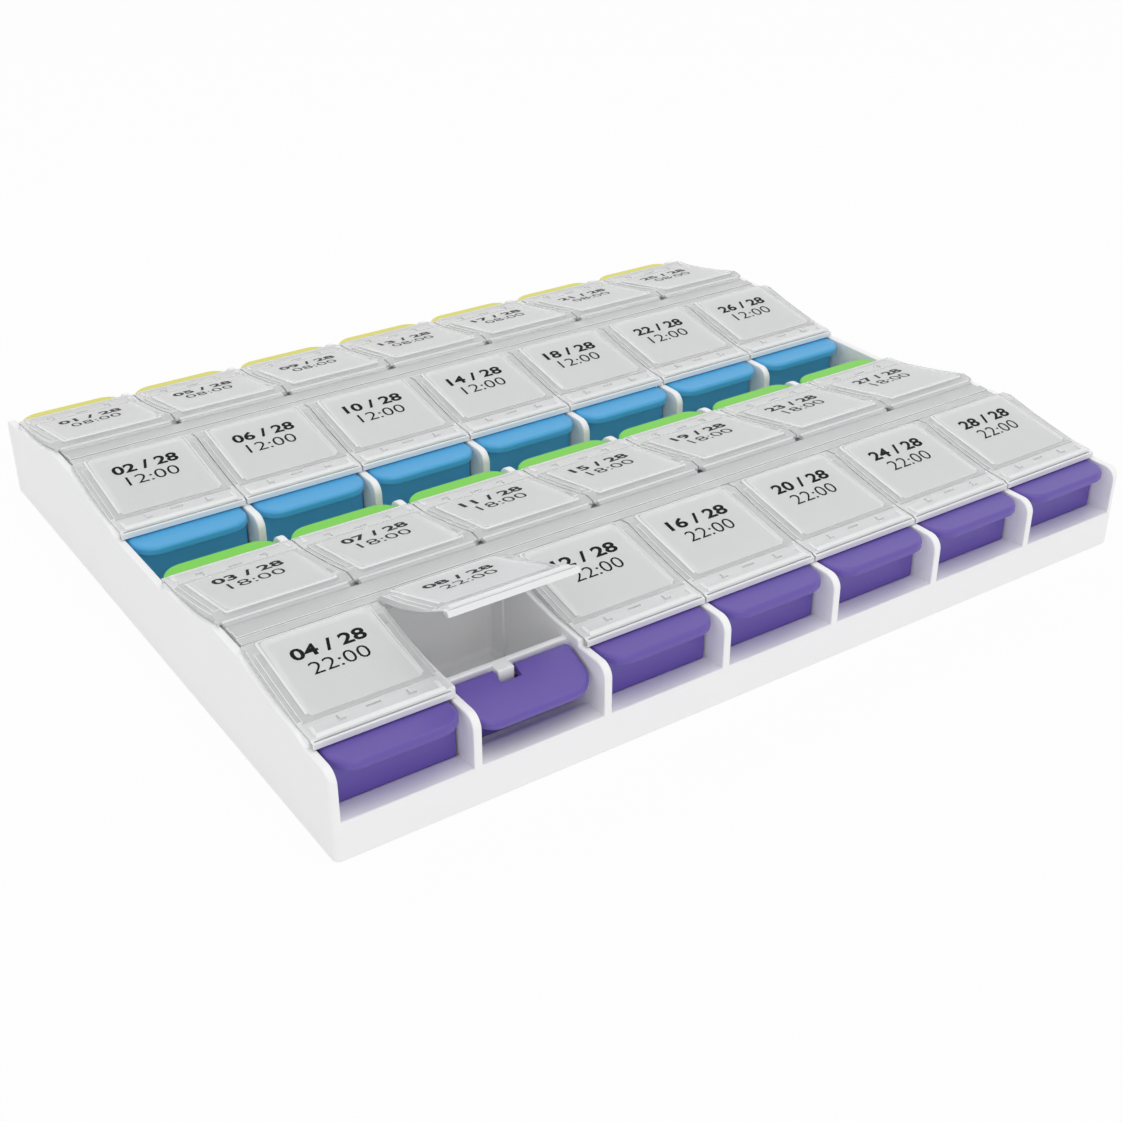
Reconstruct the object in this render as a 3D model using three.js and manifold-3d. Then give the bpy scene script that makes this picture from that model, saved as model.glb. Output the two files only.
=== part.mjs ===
// A weekly pill organizer: a white tray with 28 compartments, a clear lid over each and a push button before each.
// Millimetres, +Z up. The origin is the middle of the underside. Front is -Y, and the first day of the week is at -X.
// Two modules lie one behind the other. Each has two rows of compartments that stand back to back.
// Sections are drawn in a plane: "out" runs from the middle of a module to its button side, and "up" is the height.
import * as THREE from "three";
import { mergeVertices } from "three/addons/utils/BufferGeometryUtils.js";
import Module from "manifold-3d";

const wasm = await Module();
wasm.setup();

// Overall size
const WIDTH = 235;
const DEPTH = 198;
const WALL = 2.1;
const DAYS = ["sun", "mon", "tue", "wed", "thu", "fri", "sat"];
// General clearances
const GAP = 0.3;
const OVERRUN = 1;
// Tray heights
const FLOOR = 2;
const FASCIA_HEIGHT = 9.8;
const TROUGH_DEPTH = 2.4;
const WALL_TOP = 22.5;
const LID_SEAT_RISE = 1.6;
const HUMP_RISE = 4.2;
const CHEEK_BELOW_HINGE = 0.1;
// Tray plan
const VALLEY = 8;
const BAY_DEPTH = 14.7;
const FRONT_WALL = 1.6;
const LID_STEP_FROM_BAY = 4.5;
const POCKET_RADIUS = 3;
const TRAY_RADIUS = 4;
const FIN_RADIUS = 3.4;
const TROUGH_WIDTH = 8.6;
const LEDGE_WIDTH = 1.6;
const LEDGE_HEIGHT = 2.2;
const LEDGE_EDGE = 0.6;
const POST_SIDE_GAP = 0.6;
const POST_REACH = 2.7;
const POST_HEIGHT = 6;
// Hinge strip and lid bead
const HINGE_OUT = 5.1;
const HINGE_ABOVE_SEAT = 4.1;
const BEAD_RADIUS = 0.75;
const CHANNEL_WALL = 0.7;
const STRIP_ABOVE_HINGE = 0.4;
const STRIP_RIB_HALF = 1.5;
const STRIP_RIB_RISE = 0.5;
// Lids
const LID_GAP = 0.6;
const LID_LIP = 1.2;
const LID_LIP_RISE = 0.1;
const LID_OVER_STEP = 0.6;
const LID_CREST_RISE = 1.7;
const LID_REAR_DROP = 0.4;
const LID_REAR_FROM_HINGE = 0.8;
const WINDOW_WIDTH = 28.6;
const WINDOW_REAR_SETBACK = 1.3;
const WINDOW_FRONT_SETBACK = 4.7;
const WINDOW_REAR_RISE = 0.7;
const WINDOW_FRONT_RISE = 3.5;
const WINDOW_BEVEL = 1.2;
const WINDOW_FRONT_BEVEL = 1.9;
const WINDOW_SINK = 0.6;
const WINDOW_THICKNESS = 1.2;
const GRIP_WIDTH = 24;
const GRIP_DEPTH = 2;
const GRIP_RISE = 0.7;
const GRIP_CHAMFER = 0.5;
const LID_SHOWN_DEG = 31;
// Buttons
const BUTTON_SIDE_GAP = 0.45;
const BUTTON_REAR_GAP = 0.6;
const BUTTON_SETBACK = 0.8;
const BUTTON_PLATE = 2.2;
const BUTTON_CORNER = 6;
const BUTTON_REAR_CORNER = 0.8;
const NOTCH_CENTRE = -1.95;
const NOTCH_WIDTH = 5.3;
const NOTCH_DEPTH = 3.8;
const SKIRT_SETBACK = 5.4;
const SKIRT_THICKNESS = 1.6;
const SKIRT_FLOOR_GAP = 1;
const BUTTON_PIVOT_IN = 0.5;
const BUTTON_PIVOT_UP = 0.5;
const BUTTON_SHOWN_DEG = 22;

// Steps of a quarter round
const POCKET_STEPS = 2;
const TRAY_STEPS = 3;
const FIN_STEPS = 3;
const CORNER_STEPS = 4;
const CHANNEL_STEPS = 6;
const BEAD_STEPS = 8;
// Where the bead's round starts and ends beside the lid's neck, in degrees
const BEAD_TOP_DEG = 50;
const BEAD_UNDER_DEG = 335;

// What follows from those sizes
const PITCH = (WIDTH - WALL) / DAYS.length;
const MODULE_DEPTH = (DEPTH - VALLEY) / 2;
const MODULE_CENTRE = (VALLEY + MODULE_DEPTH) / 2;
const BAY_END = MODULE_DEPTH / 2;
const BAY_START = BAY_END - BAY_DEPTH;
const POCKET_END = BAY_START - FRONT_WALL;
const STEP_OUT = BAY_START + LID_STEP_FROM_BAY;
const SEAT_UP = WALL_TOP + LID_SEAT_RISE;
const TROUGH_FLOOR = FASCIA_HEIGHT - TROUGH_DEPTH;
const HINGE_UP = SEAT_UP + HINGE_ABOVE_SEAT;
const CHEEK_TOP = HINGE_UP - CHEEK_BELOW_HINGE;
const CHANNEL_RADIUS = BEAD_RADIUS + GAP;
const STRIP_OUT = HINGE_OUT + CHANNEL_RADIUS + CHANNEL_WALL;
const STRIP_BOTTOM = HINGE_UP - CHANNEL_RADIUS - CHANNEL_WALL;
const STRIP_TOP = HINGE_UP + STRIP_ABOVE_HINGE;
const HUMP_START = STRIP_OUT + GAP;
const LID_FRONT = STEP_OUT + LID_OVER_STEP + LID_LIP;
const LID_REAR_OUT = HINGE_OUT + LID_REAR_FROM_HINGE;
const LID_CREST = HINGE_UP + LID_CREST_RISE;
const LID_REAR = LID_CREST - LID_REAR_DROP;
const LID_LIP_TOP = SEAT_UP + LID_LIP_RISE;
const WINDOW_REAR = LID_REAR_OUT + WINDOW_REAR_SETBACK;
const WINDOW_FRONT = LID_FRONT - WINDOW_FRONT_SETBACK;
const WINDOW_REAR_UP = LID_CREST + WINDOW_REAR_RISE;
const WINDOW_FRONT_UP = LID_LIP_TOP + WINDOW_FRONT_RISE;
const PLATE_REAR = BAY_START + BUTTON_REAR_GAP;
const PLATE_FRONT = BAY_END - BUTTON_SETBACK;
const PLATE_BOTTOM = WALL_TOP - BUTTON_PLATE;
const PIVOT_OUT = PLATE_REAR + BUTTON_PIVOT_IN;
const PIVOT_UP = PLATE_BOTTOM + BUTTON_PIVOT_UP;
const LEDGE_TOP = PLATE_BOTTOM - GAP - BUTTON_PIVOT_UP / 2;

// The walls under the lids fall from the hump beside the strip to the lid's seat: share of the run, share of the rise.
const HUMP_SHARES = [
  [0, 1],
  [0.11, 0.8],
  [0.34, 0.41],
  [0.51, 0.24],
  [0.64, 0.12],
  [0.81, 0.05],
  [1, 0],
];
// The lid's upper face falls from its crest to its lip: share of the run, share of the fall.
const LID_TOP_SHARES = [
  [0, 0],
  [0.14, 0.09],
  [0.27, 0.25],
  [0.48, 0.46],
  [0.73, 0.69],
  [1, 1],
];
const LID_CREST_SHARE = 0.09;

// A three.js geometry as a solid that can be joined and cut.
function solidOf(geometry) {
  const plain = geometry.clone();
  plain.deleteAttribute("normal");
  plain.deleteAttribute("uv");
  const merged = mergeVertices(plain, 1e-5);
  return new wasm.Manifold(
    new wasm.Mesh({
      numProp: 3,
      vertProperties: merged.attributes.position.array,
      triVerts: new Uint32Array(merged.index.array),
    }),
  );
}

// A solid as a three.js mesh with its own colour.
function meshOf(name, solid, look) {
  const made = solid.getMesh();
  const points = new Float32Array(made.numVert * 3);
  for (let i = 0; i < made.numVert; i++) {
    points.set(made.vertProperties.subarray(i * made.numProp, i * made.numProp + 3), i * 3);
  }
  const indexed = new THREE.BufferGeometry();
  indexed.setAttribute("position", new THREE.BufferAttribute(points, 3));
  indexed.setIndex(new THREE.BufferAttribute(new Uint32Array(made.triVerts), 1));
  const geometry = indexed.toNonIndexed();
  geometry.computeVertexNormals();
  const mesh = new THREE.Mesh(geometry, new THREE.MeshStandardMaterial(look));
  mesh.name = name;
  return mesh;
}

// A box between two corners.
function box(x0, x1, y0, y1, z0, z1) {
  const geometry = new THREE.BoxGeometry(x1 - x0, y1 - y0, z1 - z0);
  geometry.translate((x0 + x1) / 2, (y0 + y1) / 2, (z0 + z1) / 2);
  return solidOf(geometry);
}

function outlineOf(points) {
  return new THREE.Shape(points.map(([a, b]) => new THREE.Vector2(a, b)));
}

// A section of (out, up) points swept along X, centred on it. Out points to -Y.
function sweptSection(points, width) {
  const geometry = new THREE.ExtrudeGeometry(outlineOf(points), { depth: width, bevelEnabled: false });
  const axes = new THREE.Matrix4().makeBasis(
    new THREE.Vector3(0, -1, 0),
    new THREE.Vector3(0, 0, 1),
    new THREE.Vector3(-1, 0, 0),
  );
  geometry.applyMatrix4(axes);
  geometry.translate(width / 2, 0, 0);
  return solidOf(geometry);
}

// A plan outline of (x, y) points raised from z0 to z1.
function raisedPlan(points, z0, z1) {
  const geometry = new THREE.ExtrudeGeometry(outlineOf(points), { depth: z1 - z0, bevelEnabled: false });
  geometry.translate(0, 0, z0);
  return solidOf(geometry);
}

// Points of an arc about a centre, from one angle to another.
function arc(cx, cy, radius, from, to, steps) {
  const points = [];
  for (let i = 0; i <= steps; i++) {
    const angle = THREE.MathUtils.degToRad(from + ((to - from) * i) / steps);
    points.push([cx + radius * Math.cos(angle), cy + radius * Math.sin(angle)]);
  }
  return points;
}

// A rectangle with its four corners rounded.
function roundedRectangle(x0, x1, y0, y1, radius, steps) {
  return [
    ...arc(x0 + radius, y0 + radius, radius, 180, 270, steps),
    ...arc(x1 - radius, y0 + radius, radius, 270, 360, steps),
    ...arc(x1 - radius, y1 - radius, radius, 0, 90, steps),
    ...arc(x0 + radius, y1 - radius, radius, 90, 180, steps),
  ];
}

// Six-sided solid from four bottom and four top corners, each set anticlockwise from above.
function sixSided(bottom, top) {
  const points = [...bottom, ...top];
  const faces = [
    [0, 3, 2, 1],
    [4, 5, 6, 7],
    [0, 1, 5, 4],
    [1, 2, 6, 5],
    [2, 3, 7, 6],
    [3, 0, 4, 7],
  ];
  const indices = faces.flatMap(([a, b, c, d]) => [a, b, c, a, c, d]);
  const geometry = new THREE.BufferGeometry();
  geometry.setAttribute("position", new THREE.Float32BufferAttribute(points.flat(), 3));
  geometry.setIndex(indices);
  return solidOf(geometry);
}

function joined(solids) {
  return solids.reduce((sum, solid) => sum.add(solid));
}

// Where a column's middle lies.
function columnX(column) {
  return (column - (DAYS.length - 1) / 2) * PITCH;
}

// Height of the walls under a lid's edge.
function humpPoints() {
  const run = STEP_OUT - HUMP_START;
  return HUMP_SHARES.map(([along, rise]) => [HUMP_START + run * along, SEAT_UP + HUMP_RISE * rise]);
}

// One half of a divider's outline, from the middle of the module out to the fin's front edge.
function halfDivider(middleUp) {
  return [
    [0, middleUp],
    [HUMP_START, middleUp],
    ...humpPoints(),
    [STEP_OUT, WALL_TOP],
    ...arc(BAY_END - FIN_RADIUS, WALL_TOP - FIN_RADIUS, FIN_RADIUS, 90, 0, FIN_STEPS),
  ];
}

// A divider of a module, the same on both sides. At an outer wall the hump runs on over the strip's end.
function divider(middleUp) {
  const half = halfDivider(middleUp);
  const other = half.slice(1).map(([out, up]) => [-out, up]);
  return sweptSection([[BAY_END, 0], [-BAY_END, 0], ...other.reverse(), ...half], WALL);
}

// One module of the tray, its middle on the X axis.
function trayModule() {
  const sides = [-1, 1];
  const half = WIDTH / 2;
  let block = box(-half, half, -BAY_START, BAY_START, 0, WALL_TOP);
  const pockets = [];
  for (let column = 0; column < DAYS.length; column++) {
    const x0 = columnX(column) - PITCH / 2 + WALL / 2;
    const x1 = columnX(column) + PITCH / 2 - WALL / 2;
    for (const side of sides) {
      const near = (side * WALL) / 2;
      const far = side * POCKET_END;
      const plan = roundedRectangle(x0, x1, Math.min(near, far), Math.max(near, far), POCKET_RADIUS, POCKET_STEPS);
      pockets.push(raisedPlan(plan, FLOOR, WALL_TOP + OVERRUN));
    }
  }
  block = block.subtract(joined(pockets));
  const parts = [block, box(-half, half, -WALL / 2, WALL / 2, 0, STRIP_BOTTOM - GAP)];
  const trough = BAY_START + TROUGH_WIDTH;
  const shelf = sweptSection(
    [
      [BAY_START - OVERRUN, 0],
      [BAY_END, 0],
      [BAY_END, FASCIA_HEIGHT],
      [trough, FASCIA_HEIGHT],
      [trough, TROUGH_FLOOR],
      [BAY_START - OVERRUN, TROUGH_FLOOR],
    ],
    WIDTH,
  );
  const ledge = sweptSection(
    [
      [BAY_START - FRONT_WALL / 2, LEDGE_TOP - LEDGE_HEIGHT],
      [BAY_START, LEDGE_TOP - LEDGE_HEIGHT],
      [BAY_START + LEDGE_WIDTH, LEDGE_TOP - LEDGE_EDGE],
      [BAY_START + LEDGE_WIDTH, LEDGE_TOP],
      [BAY_START - FRONT_WALL / 2, LEDGE_TOP],
    ],
    WIDTH,
  );
  const post = sweptSection(
    [
      [BAY_START - FRONT_WALL / 2, WALL_TOP - POST_HEIGHT],
      [BAY_START, WALL_TOP - POST_HEIGHT],
      [BAY_START + POST_REACH, WALL_TOP - POST_HEIGHT + POST_REACH],
      [BAY_START + POST_REACH, WALL_TOP],
      [BAY_START - FRONT_WALL / 2, WALL_TOP],
    ],
    NOTCH_WIDTH - 2 * POST_SIDE_GAP,
  );
  for (const turn of [0, 180]) {
    parts.push(shelf.rotate([0, 0, turn]), ledge.rotate([0, 0, turn]));
    for (let column = 0; column < DAYS.length; column++) {
      const placed = post.translate([NOTCH_CENTRE, 0, 0]).rotate([0, 0, turn]);
      parts.push(placed.translate([columnX(column), 0, 0]));
    }
  }
  for (let wall = 1; wall < DAYS.length; wall++) {
    parts.push(divider(STRIP_BOTTOM - GAP).translate([wall * PITCH - (DAYS.length * PITCH) / 2, 0, 0]));
  }
  for (const side of sides) {
    parts.push(divider(CHEEK_TOP).translate([(side * DAYS.length * PITCH) / 2, 0, 0]));
  }
  return joined(parts);
}

// The whole tray: two modules, the floor and side walls of the valley between them, and rounded outer corners.
function tray() {
  const half = WIDTH / 2;
  const module = trayModule();
  const floor = box(-half, half, -VALLEY, VALLEY, 0, FLOOR);
  const parts = [module.translate([0, -MODULE_CENTRE, 0]), module.translate([0, MODULE_CENTRE, 0]), floor];
  const reach = VALLEY / 2 + FIN_RADIUS;
  for (const [x0, x1] of [[-half, -half + WALL], [half - WALL, half]]) {
    parts.push(box(x0, x1, -reach, reach, 0, WALL_TOP));
  }
  const outer = roundedRectangle(-half, half, -DEPTH / 2, DEPTH / 2, TRAY_RADIUS, TRAY_STEPS);
  return joined(parts).intersect(raisedPlan(outer, 0, CHEEK_TOP + OVERRUN));
}

// The clear strip between two rows, with an open channel along each edge for the lids' beads.
function hingeStrip() {
  const rim = THREE.MathUtils.radToDeg(Math.asin(STRIP_ABOVE_HINGE / CHANNEL_RADIUS));
  const lipAngle = 320;
  const half = [
    [0, STRIP_TOP + STRIP_RIB_RISE],
    [STRIP_RIB_HALF, STRIP_TOP + STRIP_RIB_RISE],
    [STRIP_RIB_HALF, STRIP_TOP],
    ...arc(HINGE_OUT, HINGE_UP, CHANNEL_RADIUS, 180 - rim, lipAngle, CHANNEL_STEPS),
    ...arc(HINGE_OUT, HINGE_UP, CHANNEL_RADIUS + CHANNEL_WALL, lipAngle, 270, POCKET_STEPS),
  ];
  const other = half.slice(1).map(([out, up]) => [-out, up]);
  return sweptSection([...other.reverse(), ...half], WIDTH - 2 * WALL - 2 * GAP);
}

// Corners of a slanted rectangle: half width, and (out, up) of its rear and front edge.
function slantedCorners(halfWidth, rearOut, rearUp, frontOut, frontUp) {
  return [
    [-halfWidth, -frontOut, frontUp],
    [halfWidth, -frontOut, frontUp],
    [halfWidth, -rearOut, rearUp],
    [-halfWidth, -rearOut, rearUp],
  ];
}

// A closed lid of a front-facing row: bead, slab with side edges on the dividers, lip, raised window and grip.
function lid() {
  const topRun = LID_FRONT - LID_REAR_OUT;
  const crestOut = LID_REAR_OUT + topRun * LID_CREST_SHARE;
  const top = LID_TOP_SHARES.map(([along, fall]) => [
    crestOut + (LID_FRONT - crestOut) * along,
    LID_CREST - (LID_CREST - LID_LIP_TOP) * fall,
  ]);
  const under = humpPoints().map(([out, up]) => [out + GAP / 2, up + GAP]);
  const lipBottom = WALL_TOP + GAP;
  const neckUnder = HINGE_UP - GAP;
  const section = [
    ...arc(HINGE_OUT, HINGE_UP, BEAD_RADIUS, BEAD_TOP_DEG, BEAD_UNDER_DEG, BEAD_STEPS),
    [HUMP_START - GAP / 2, neckUnder],
    ...under,
    [LID_FRONT - LID_LIP, SEAT_UP + GAP],
    [LID_FRONT - LID_LIP, lipBottom],
    [LID_FRONT, lipBottom],
    ...top.reverse(),
    [LID_REAR_OUT, LID_REAR],
  ];
  const width = PITCH - LID_GAP;
  let solid = sweptSection(section, width);
  const cornerX = PITCH / 2 - WALL / 2 - GAP;
  for (const side of [-1, 1]) {
    const xs = [side * cornerX, side * (width / 2 + OVERRUN)].sort((a, b) => a - b);
    solid = solid.subtract(box(xs[0], xs[1], -HUMP_START, 0, STRIP_BOTTOM - OVERRUN, LID_CREST + OVERRUN));
  }
  const half = WINDOW_WIDTH / 2;
  const shelfUp = LID_CREST - WINDOW_SINK;
  const frontUp = LID_LIP_TOP + WINDOW_SINK;
  const window = sixSided(
    slantedCorners(half, WINDOW_REAR, shelfUp, WINDOW_FRONT, frontUp),
    slantedCorners(
      half - WINDOW_BEVEL,
      WINDOW_REAR + WINDOW_BEVEL,
      WINDOW_REAR_UP,
      WINDOW_FRONT - WINDOW_FRONT_BEVEL,
      WINDOW_FRONT_UP,
    ),
  );
  const inset = WINDOW_THICKNESS;
  const below = SEAT_UP - OVERRUN;
  const hollow = sixSided(
    slantedCorners(half - inset, WINDOW_REAR + inset, below, WINDOW_FRONT - inset, below),
    slantedCorners(
      half - WINDOW_BEVEL - inset,
      WINDOW_REAR + WINDOW_BEVEL + inset,
      WINDOW_REAR_UP - inset,
      WINDOW_FRONT - WINDOW_FRONT_BEVEL - inset,
      WINDOW_FRONT_UP - inset,
    ),
  );
  const gripRear = LID_FRONT - LID_LIP - GRIP_DEPTH;
  const gripUp = LID_LIP_TOP + LID_SEAT_RISE / 2;
  const grip = sweptSection(
    [
      [gripRear, LID_LIP_TOP],
      [LID_FRONT - LID_LIP, LID_LIP_TOP],
      [LID_FRONT - LID_LIP - GRIP_CHAMFER, gripUp + GRIP_RISE / 2],
      [gripRear + GRIP_CHAMFER, gripUp + GRIP_RISE],
    ],
    GRIP_WIDTH,
  );
  return solid.add(window).subtract(hollow).add(grip);
}

// A button of a front-facing row at rest: plate with big front corners and a notch, and a skirt set back under it.
function button() {
  const half = PITCH / 2 - WALL / 2 - BUTTON_SIDE_GAP;
  const notchLeft = NOTCH_CENTRE - NOTCH_WIDTH / 2;
  const notchRight = NOTCH_CENTRE + NOTCH_WIDTH / 2;
  const plan = [
    ...arc(-half + BUTTON_CORNER, -PLATE_FRONT + BUTTON_CORNER, BUTTON_CORNER, 180, 270, CORNER_STEPS),
    ...arc(half - BUTTON_CORNER, -PLATE_FRONT + BUTTON_CORNER, BUTTON_CORNER, 270, 360, CORNER_STEPS),
    [half, -PLATE_REAR - BUTTON_REAR_CORNER],
    [half - BUTTON_REAR_CORNER, -PLATE_REAR],
    [notchRight, -PLATE_REAR],
    [notchRight, -PLATE_REAR - NOTCH_DEPTH],
    [notchLeft, -PLATE_REAR - NOTCH_DEPTH],
    [notchLeft, -PLATE_REAR],
    [-half + BUTTON_REAR_CORNER, -PLATE_REAR],
    [-half, -PLATE_REAR - BUTTON_REAR_CORNER],
  ];
  const plate = raisedPlan(plan, PLATE_BOTTOM, WALL_TOP);
  const skirtFront = -PLATE_FRONT + SKIRT_SETBACK;
  const skirt = box(
    -half,
    half,
    skirtFront,
    skirtFront + SKIRT_THICKNESS,
    FASCIA_HEIGHT + SKIRT_FLOOR_GAP,
    PLATE_BOTTOM + BUTTON_PLATE / 2,
  );
  return plate.add(skirt);
}

// Turns a solid of a front-facing row about a line along X, so that its front rises by the angle.
function raisedAbout(solid, out, up, degrees) {
  return solid.translate([0, out, -up]).rotate([-degrees, 0, 0]).translate([0, -out, up]);
}

const WHITE = { color: 0xf2f2f2, roughness: 0.45, metalness: 0 };
const CLEAR = { color: 0xf4f6f8, roughness: 0.12, metalness: 0, transparent: true, opacity: 0.35 };
const PURPLE = { color: 0x705cb0, roughness: 0.4, metalness: 0 };
const GREEN = { color: 0x76d63c, roughness: 0.4, metalness: 0 };
const BLUE = { color: 0x4aa3dc, roughness: 0.4, metalness: 0 };
const YELLOW = { color: 0xe1dc5a, roughness: 0.4, metalness: 0 };
// Rows from front to rear: name, module side, half turn, colour of the buttons.
const ROWS = [
  { time: "bedtime", side: -1, turn: 0, look: PURPLE },
  { time: "evening", side: -1, turn: 180, look: GREEN },
  { time: "noon", side: 1, turn: 0, look: BLUE },
  { time: "morning", side: 1, turn: 180, look: YELLOW },
];
// The one compartment that stands open, with its button held down.
const SHOWN_OPEN = "mon_bedtime";

const organizer = new THREE.Group();
organizer.add(meshOf("tray", tray(), WHITE));
const strip = hingeStrip();
for (const [place, side] of [["front", -1], ["rear", 1]]) {
  const mesh = meshOf("hinge_strip_" + place, strip, CLEAR);
  mesh.position.y = side * MODULE_CENTRE;
  organizer.add(mesh);
}
const closedLid = lid();
const openLid = raisedAbout(closedLid, HINGE_OUT, HINGE_UP, LID_SHOWN_DEG);
const restButton = button();
const heldButton = raisedAbout(restButton, PIVOT_OUT, PIVOT_UP, -BUTTON_SHOWN_DEG);
for (const row of ROWS) {
  const rowGroup = new THREE.Group();
  rowGroup.position.y = row.side * MODULE_CENTRE;
  rowGroup.rotation.z = THREE.MathUtils.degToRad(row.turn);
  for (let column = 0; column < DAYS.length; column++) {
    const place = DAYS[column] + "_" + row.time;
    const shown = place === SHOWN_OPEN;
    const x = row.turn ? -columnX(column) : columnX(column);
    const lidMesh = meshOf("lid_" + place, shown ? openLid : closedLid, CLEAR);
    lidMesh.position.x = x;
    const buttonMesh = meshOf("button_" + place, shown ? heldButton : restButton, row.look);
    buttonMesh.position.x = x;
    rowGroup.add(lidMesh, buttonMesh);
  }
  organizer.add(rowGroup);
}

export default organizer;
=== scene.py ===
# %% [markdown]
# # A weekly pill organizer
# The real object is a white moulded tray with 28 compartments, seven days by four times of day.
# A clear lid snaps shut over each compartment, and pushing the coloured button before it lifts the lid.
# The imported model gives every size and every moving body. This lesson dresses it piece by piece.

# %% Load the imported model
import math

import bmesh
import bpy
from mathutils import Matrix, Vector


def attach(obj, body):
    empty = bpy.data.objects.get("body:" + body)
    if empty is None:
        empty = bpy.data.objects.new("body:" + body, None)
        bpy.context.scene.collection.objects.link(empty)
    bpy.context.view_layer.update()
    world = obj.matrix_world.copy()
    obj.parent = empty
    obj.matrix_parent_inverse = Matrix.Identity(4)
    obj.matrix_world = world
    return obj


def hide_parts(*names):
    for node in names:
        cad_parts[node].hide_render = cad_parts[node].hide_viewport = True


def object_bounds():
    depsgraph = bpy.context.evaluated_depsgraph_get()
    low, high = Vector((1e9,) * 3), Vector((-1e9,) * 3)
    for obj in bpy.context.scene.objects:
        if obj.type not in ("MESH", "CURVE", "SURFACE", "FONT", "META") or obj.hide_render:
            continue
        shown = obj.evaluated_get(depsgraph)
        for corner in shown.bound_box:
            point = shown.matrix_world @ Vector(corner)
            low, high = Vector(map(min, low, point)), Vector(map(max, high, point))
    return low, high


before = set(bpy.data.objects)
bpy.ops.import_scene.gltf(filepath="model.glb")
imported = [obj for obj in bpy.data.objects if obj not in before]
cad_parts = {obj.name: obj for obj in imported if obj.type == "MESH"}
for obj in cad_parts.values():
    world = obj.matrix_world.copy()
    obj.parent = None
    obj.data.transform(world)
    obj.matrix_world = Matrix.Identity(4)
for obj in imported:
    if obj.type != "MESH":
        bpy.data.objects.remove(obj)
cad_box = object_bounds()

for word, corner in zip(("from", "to"), cad_box):
    print("the packed model reaches", word, [round(value, 4) for value in corner])

# %% [markdown]
# ## The camera
# The organizer is seen from its front left corner, from about 30 degrees above.
# A camera can be aimed by a target object, but a place and two angles say the same with less.
# Blender looks down its own -Z, so 90 degrees less the pitch tips the view up from the floor.

# %% Camera at the photograph's viewing angle
CAMERA_PLACE = (-0.22067, -0.33115, 0.21625)
CAMERA_YAW = 34.27
CAMERA_PITCH = 30.17
CAMERA_LENS = 51.67
SENSOR_WIDTH = 36
NEAREST = 0.01

camera = bpy.data.objects.new("camera", bpy.data.cameras.new("camera"))
camera.location = CAMERA_PLACE
camera.rotation_euler = (math.radians(90 - CAMERA_PITCH), 0, math.radians(-CAMERA_YAW))
camera.data.lens = CAMERA_LENS
camera.data.sensor_width = SENSOR_WIDTH
camera.data.clip_start = NEAREST
bpy.context.scene.collection.objects.link(camera)
bpy.context.scene.camera = camera
bpy.context.scene.view_settings.view_transform = "Standard"
print("camera at", CAMERA_PLACE, "lens", CAMERA_LENS)

# %% [markdown]
# ## Sizes
# All sizes are in millimetres here, as a moulder's drawing has them. A mesh turns them into metres.
# The tray has two modules, each with two rows of compartments back to back.
# "Out" runs from the middle of a module to its buttons, and "up" is the height above the table.

# %% Sizes of the tray, lids and buttons
MM = 0.001
DAYS = ["sun", "mon", "tue", "wed", "thu", "fri", "sat"]
WIDTH, DEPTH, WALL, GAP = 235.0, 198.0, 2.1, 0.3
PITCH = (WIDTH - WALL) / len(DAYS)
MODULE_CENTRE = 51.5
MODULES = (-MODULE_CENTRE, MODULE_CENTRE)
BAY_END, BAY_START, POCKET_END = 47.5, 32.8, 31.2
FLOOR, FASCIA, TROUGH_FLOOR, WALL_TOP, SEAT = 2.0, 9.8, 7.4, 22.5, 24.1
HINGE_OUT, HINGE_UP = 5.1, 28.2
HUMP_START, STEP_OUT = 7.15, 37.3
STRIP_BOTTOM, STRIP_TOP = 26.45, 28.6
PIVOT_OUT, PIVOT_UP = 33.9, 20.8
SHOWN_LID_DEG, SHOWN_BUTTON_DEG = 31.0, 22.0


def column_x(column):
    """The middle of a day's column."""
    return (column - (len(DAYS) - 1) / 2) * PITCH


print("each column is", round(PITCH, 3), "mm wide")

# %% [markdown]
# ## Mesh helpers
# Moulded parts are mostly sections pushed along one line, and plans pulled upwards.
# Curves with a depth could do this too, but a list of points keeps every size exact.
# Each helper makes one closed body, so that they can be joined and cut without holes.

# %% Closed bodies from sections and plans
def new_piece(name, points, faces):
    """An object from points in millimetres, its faces turned outwards."""
    mesh = bpy.data.meshes.new(name)
    mesh.from_pydata([[value * MM for value in point] for point in points], [], faces)
    body = bmesh.new()
    body.from_mesh(mesh)
    bmesh.ops.recalc_face_normals(body, faces=body.faces)
    body.to_mesh(mesh)
    body.free()
    piece = bpy.data.objects.new(name, mesh)
    bpy.context.scene.collection.objects.link(piece)
    return piece


def lofted(name, loops):
    """One closed body through loops of points, each loop with as many points."""
    count = len(loops[0])
    points = [point for loop in loops for point in loop]
    faces = [list(range(count)), list(range(len(points) - count, len(points)))]
    for start in range(0, len(points) - count, count):
        for i in range(count):
            j = (i + 1) % count
            faces.append([start + i, start + j, start + count + j, start + count + i])
    return new_piece(name, points, faces)


def along_x(name, section, x0, x1):
    """A section of (out, up) points pushed from x0 to x1. Out points to -Y."""
    return lofted(name, [[(x, -out, up) for out, up in section] for x in (x0, x1)])


def raised(name, plan, bottom, top):
    """A plan of (x, out) points between two heights, each a number or a rule of (x, out)."""
    heights = [(end if callable(end) else (lambda x, out, end=end: end)) for end in (bottom, top)]
    return lofted(name, [[(x, -out, height(x, out)) for x, out in plan] for height in heights])


print("closed bodies are", [helper.__name__ for helper in (lofted, along_x, raised)])

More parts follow.
